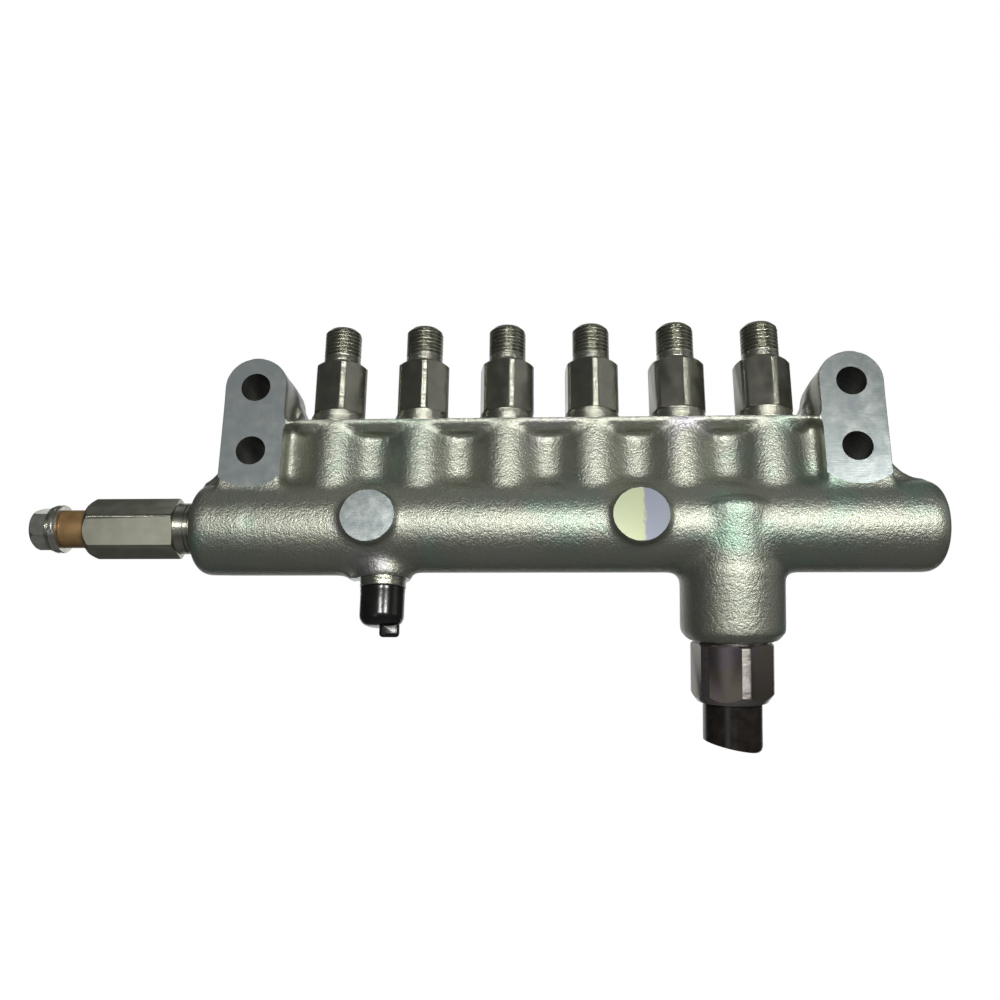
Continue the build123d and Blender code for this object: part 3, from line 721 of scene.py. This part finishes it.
# Steel under a thick passivate film: a dark brown metal that drifts to lilac over 11 mm, with a
# mill's grain 0.4 mm apart
sensor_steel, shader, place = new_material(
    "brown passivated sensor steel", Metallic=0.9, Roughness=0.24
)
cloud = add_node(
    sensor_steel, "ShaderNodeTexNoise", {"Scale": 0.09 * per_mm, "Detail": 4.0}, {"Vector": place}
)
tint = add_node(
    sensor_steel,
    "ShaderNodeValToRGB",
    {"stops": [(0.34, "5f5b50"), (0.5, "645c55"), (0.66, "625a60")]},
    {"Fac": cloud.outputs["Fac"]},
)
fine = add_node(
    sensor_steel, "ShaderNodeTexNoise", {"Scale": 2.4 * per_mm, "Detail": 2.0}, {"Vector": place}
)
grain = add_node(
    sensor_steel,
    "ShaderNodeBump",
    {"Strength": 0.3, "Distance": 0.05 * mm},
    {"Height": fine.outputs["Fac"]},
)
feed(shader, {"Base Color": tint.outputs["Color"], "Normal": grain.outputs["Normal"]})

turned_brown = turned_steel("brown sensor steel turned upright", upright, "8a8580", "979093", 0.22)
sensor_place = ((sensor_x, 0, barrel_z), sensor_axis, (1, 0, 0))
sensor = turn_on_lathe(
    [(0, 32.2), (2.0, 32.2), (2.0, 20.2), (8.5, 20.2), (8.95, 20.7), (8.95, 39.8), (12.4, 39.8),
     (12.6, 40.0), (12.6, 41.4), (14.0, 41.4), (14.75, 42.2), (14.75, 59.4), (12.6, 62.4), (8.6, 62.4),
     (8.6, 52.4), (0, 52.4)],
    turned_brown,
)
mill_hexagon(sensor, sensor_steel, half_across=13.5, low=41.4, high=63, first=50)
set_in_place(sensor, *sensor_place)
finish_piece(sensor, "sensor_hexagon", "rail", "sensor_body")

# Glass-filled nylon from a polished mould: nearly black, with a gloss that comes and goes over 4 mm
moulded, shader, place = new_material("glossy black moulded nylon")
cloud = add_node(moulded, "ShaderNodeTexNoise", {"Scale": 0.26 * per_mm, "Detail": 3.0}, {"Vector": place})
tint = add_node(
    moulded,
    "ShaderNodeValToRGB",
    {"stops": [(0.35, "14110e"), (0.65, "1e1915")]},
    {"Fac": cloud.outputs["Fac"]},
)
gloss = add_node(
    moulded,
    "ShaderNodeMapRange",
    {"From Min": 0.3, "From Max": 0.7, "To Min": 0.2, "To Max": 0.36},
    {"Value": cloud.outputs["Fac"]},
)
feed(shader, {"Base Color": tint.outputs["Color"], "Roughness": gloss.outputs["Result"]})

plug_housing = turn_on_lathe(
    [(0, 53.8), (8.55, 53.8), (8.55, 62.4), (10.3, 62.4), (10.5, 62.7), (10.5, 78.2), (10.2, 79.3),
     (9.6, 79.9), (8.9, 79.9), (8.5, 79.4), (8.5, 66.9), (0, 66.9)],
    moulded,
)

# The housing's open end is cut at a slant
slant = add_block((0, 0, 83.3), (40, 40, 10))
slant.rotation_euler.y = radians(-11)
cut(plug_housing, [slant], moulded)
set_in_place(plug_housing, *sensor_place)
finish_piece(plug_housing, "plug_housing", "rail", "sensor_connector")

# Inlet cap
# A soft black vinyl cap pushed over the inlet nipple for shipping, with a domed end and a pull
# tongue on one side.

# Dipped vinyl: black and glossy, with a skin that ripples over 6 mm
vinyl, shader, place = new_material("glossy black vinyl", Roughness=0.22)
cloud = add_node(vinyl, "ShaderNodeTexNoise", {"Scale": 0.18 * per_mm, "Detail": 3.0}, {"Vector": place})
tint = add_node(
    vinyl,
    "ShaderNodeValToRGB",
    {"stops": [(0.35, "0c0c0c"), (0.65, "161515")]},
    {"Fac": cloud.outputs["Fac"]},
)
ripple = add_node(
    vinyl, "ShaderNodeBump", {"Strength": 0.4, "Distance": 0.3 * mm}, {"Height": cloud.outputs["Fac"]}
)
feed(shader, {"Base Color": tint.outputs["Color"], "Normal": ripple.outputs["Normal"]})

cap = turn_on_lathe(
    [(0, 34.8), (7.1, 34.8), (7.1, 22.7), (7.9, 22.7), (8.1, 23.0), (8.1, 24.2), (8.0, 24.5), (8.0, 32.6),
     (7.8, 33.9), (7.2, 35.0), (6.3, 35.8), (5.0, 36.3), (0, 36.4)],
    vinyl,
    64,
)

# The pull tongue is a rounded block that grows out of the domed end
tongue = add_block((3.0, 0, 37.6), (7.2, 3.2, 5.4))
bpy.ops.object.transform_apply(location=True, rotation=True, scale=True)
bpy.ops.object.mode_set(mode="EDIT")
bpy.ops.mesh.select_all(action="SELECT")
bpy.ops.mesh.bevel(offset=1.3 * mm, segments=4)
bpy.ops.object.mode_set(mode="OBJECT")
cut(cap, [tongue], vinyl, "UNION")
set_in_place(cap, (inlet_x, 0, barrel_z), (0, 0, -1), (1, 0, 0))
finish_piece(cap, "shipping_cap", "rail", "inlet_cap")

# Inner pieces
# What the housings hide keeps its CAD shape: bushes, pistons, springs, the relief valve's parts, the
# soft washer, the plug's seal and the contact blades, each in its own metal or rubber.


def plain_finish(name, dark, light, roughness, metallic=0.95):
    """A metal or rubber whose colour and gloss wander between close values some 2.5 mm apart."""
    material, shader, place = new_material(name, Metallic=metallic)
    cloud = add_node(
        material, "ShaderNodeTexNoise", {"Scale": 0.4 * per_mm, "Detail": 4.0}, {"Vector": place}
    )
    gloss = add_node(
        material,
        "ShaderNodeMapRange",
        {"From Min": 0.3, "From Max": 0.7, "To Min": roughness * 0.8, "To Max": roughness * 1.25},
        {"Value": cloud.outputs["Fac"]},
    )
    tint = add_node(
        material,
        "ShaderNodeValToRGB",
        {"stops": [(0.35, dark), (0.65, light)]},
        {"Fac": cloud.outputs["Fac"]},
    )
    feed(shader, {"Base Color": tint.outputs["Color"], "Roughness": gloss.outputs["Result"]})
    return material


# Ground steel is bright and even, spring wire dark from its drawing oil, chromate olive, tinned
# copper pale and soft, and sealing rubber matt black
ground = plain_finish("ground hardened steel", "a8a8a6", "bcbcb9", 0.18)
spring_wire = plain_finish("drawn spring wire", "6d6a66", "84817c", 0.3)
olive_zinc = plain_finish("olive chromated steel", "77734f", "8d885f", 0.34)
contact = plain_finish("tinned copper contact", "b9b6ae", "cac7c0", 0.3)
rubber = plain_finish("black sealing rubber", "131313", "1c1b1a", 0.6, metallic=0.0)
soft_washer = plain_finish("bare soft steel washer", "9a968c", "b0aca2", 0.32)
inner = {
    "damper_stop": ground,
    "damper_piston": ground,
    "damper_spring": spring_wire,
    "relief_seat": ground,
    "relief_valve": ground,
    "relief_spring": spring_wire,
    "relief_guide": olive_zinc,
    "sensor_washer": soft_washer,
    "sensor_seal": rubber,
    "sensor_terminals": contact,
}

# Each spring with its slide: name, joint, axis number, stroke in mm, and which end of the spring's
# box stays
springs = [(f"damper_spring_{k}", f"damper_{k}_slide", 2, 2.5, "max") for k in range(1, 7)]
springs.append(("relief_spring", "relief_slide", 0, 1.5, "min"))
for name, joint, axis, stroke, end in springs:
    low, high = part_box(name)
    wire = bpy.data.objects.new(name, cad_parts[name].data.copy())
    bpy.context.collection.objects.link(wire)
    take(wire)
    bpy.ops.object.mode_set(mode="EDIT")
    bpy.ops.mesh.select_all(action="SELECT")
    bpy.ops.mesh.remove_doubles(threshold=0.01 * mm)
    bpy.ops.mesh.normals_make_consistent(inside=False)
    bpy.ops.object.mode_set(mode="OBJECT")
    wire.data.materials.clear()
    wire.data.materials.append(spring_wire)
    finish_piece(wire, f"{name}_wire", "rail", name)
    middle = [(low[k] + high[k]) / 2 for k in range(3)]
    middle[axis] = high[axis] if end == "max" else low[axis]
    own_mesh(wire)

for name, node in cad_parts.items():
    for start, material in inner.items():
        if name.startswith(start):
            if not node.data.materials:
                node.data.materials.append(material)
            for material_slot in node.material_slots:
                material_slot.material = material

# Floor, backdrop, light and camera
# A pale card hangs far behind the rail and shows white to the camera, and a pale floor lies well
# below it. Two tall soft boxes stand in front, with weak fill from both sides, above and below.

# Matt paper, white to camera, glossy and transmission rays alike, so that metal mirrors it, and
# cloudy over a third of a metre in what light it throws back
card_paper, shader, place = new_material("white backdrop card", Roughness=0.9)
cloud = add_node(card_paper, "ShaderNodeTexNoise", {"Scale": 3.0, "Detail": 2.0}, {"Vector": place})
tint = add_node(
    card_paper,
    "ShaderNodeValToRGB",
    {"stops": [(0.3, "e4e4e4"), (0.7, "e9e9e9")]},
    {"Fac": cloud.outputs["Fac"]},
)
feed(shader, {"Base Color": tint.outputs["Color"]})
rays = add_node(card_paper, "ShaderNodeLightPath")
camera_or_gloss = add_node(
    card_paper,
    "ShaderNodeMath",
    {"operation": "MAXIMUM"},
    {0: rays.outputs["Is Camera Ray"], 1: rays.outputs["Is Glossy Ray"]},
)
seen = add_node(
    card_paper,
    "ShaderNodeMath",
    {"operation": "MAXIMUM"},
    {0: camera_or_gloss.outputs["Value"], 1: rays.outputs["Is Transmission Ray"]},
)
white = add_node(card_paper, "ShaderNodeEmission", {"Strength": 1.0})
shown = add_node(
    card_paper,
    "ShaderNodeMixShader",
    links={0: seen.outputs["Value"], 1: shader.outputs["BSDF"], 2: white.outputs["Emission"]},
)
feed(card_paper.node_tree.nodes["Material Output"], {"Surface": shown.outputs["Shader"]})

deselect()
bpy.ops.mesh.primitive_plane_add(size=1, location=(-0.2, 2.2, 0.85), rotation=(pi / 2, 0, 0))
backdrop = bpy.context.object
backdrop.scale = (3.5, 3.2, 1)
bpy.ops.object.transform_apply(location=True, rotation=True, scale=True)
backdrop.name = "backdrop"
backdrop.data.materials.append(card_paper)

# Matt floor paint, pale and as cloudy as the card
floor_paint, shader, place = new_material("matte pale floor", Roughness=0.9)
cloud = add_node(floor_paint, "ShaderNodeTexNoise", {"Scale": 3.0, "Detail": 2.0}, {"Vector": place})
tint = add_node(
    floor_paint,
    "ShaderNodeValToRGB",
    {"stops": [(0.3, "e2e2e2"), (0.7, "e9e9e9")]},
    {"Fac": cloud.outputs["Fac"]},
)
feed(shader, {"Base Color": tint.outputs["Color"]})
deselect()
bpy.ops.mesh.primitive_plane_add(size=8, location=(0, 0, -1.8))
floor = bpy.context.object
floor.name = "floor"
floor.data.materials.append(floor_paint)

# The room is dim, with a weak and faintly green light from all round, so that the soft boxes draw
# clear streaks on the metal
world = bpy.data.worlds.new("dim room")
bpy.context.scene.world = world
world.use_nodes = True
background = world.node_tree.nodes["Background"]
background.inputs["Color"].default_value = (0.95, 1.0, 0.98, 1.0)
background.inputs["Strength"].default_value = 0.065


def add_lamp(name, angle, rise, reach, size, radiance, colour=(1.0, 1.0, 1.0)):
    """A soft box, its reach and size in metres, that faces the rail from an angle round from the
    front and a rise, both in degrees."""
    lamp = bpy.data.lights.new(name, "AREA")
    lamp.shape = "RECTANGLE"
    lamp.size, lamp.size_y = size
    lamp.energy = radiance * pi * size[0] * size[1]
    lamp.color = colour
    holder = bpy.data.objects.new(name, lamp)
    bpy.context.collection.objects.link(holder)
    target = Vector((0, 0, -0.03))
    across = Vector((sin(radians(angle)), -cos(radians(angle)), 0))
    holder.location = target + reach * (across * cos(radians(rise)) + Vector((0, 0, sin(radians(rise)))))
    holder.rotation_euler = (target - holder.location).to_track_quat("-Z", "Y").to_euler()


warm = (1.0, 1.0, 0.97)
add_lamp("straight soft box", angle=-2, rise=2, reach=1.0, size=(0.13, 0.22), radiance=66.0, colour=warm)
add_lamp("right soft box", angle=25, rise=2, reach=1.0, size=(0.12, 0.22), radiance=66.0, colour=warm)
add_lamp("right fill", angle=80, rise=12, reach=1.3, size=(0.8, 1.0), radiance=0.6)
add_lamp("front fill", angle=12, rise=18, reach=1.3, size=(0.5, 0.4), radiance=0.5, colour=(1.0, 1.0, 0.96))
add_lamp("left fill", angle=-25, rise=16, reach=1.2, size=(0.35, 0.6), radiance=0.27)
add_lamp("low left fill", angle=-27, rise=-25, reach=1.2, size=(0.35, 0.4), radiance=0.9)
add_lamp("ceiling", angle=0, rise=86, reach=1.2, size=(1.2, 0.8), radiance=0.4)

# The camera stands low in front, looks up at the rail by 17 degrees and a little to the left
lens = bpy.data.cameras.new("camera")
lens.lens = 36
lens.sensor_width = 36
lens.clip_start = 0.01
camera = bpy.data.objects.new("camera", lens)
bpy.context.collection.objects.link(camera)
standpoint = Vector((2.03, -352.88, -134.16)) * mm
right = Vector((0.9985, 0.0541, 0.0108))
up = Vector((0.0052, -0.2867, 0.9580))
back = right.cross(up)
camera.matrix_world = Matrix.Translation(standpoint) @ Matrix((right, up, back)).transposed().to_4x4()
bpy.context.scene.camera = camera
bpy.context.scene.view_settings.view_transform = "Standard"
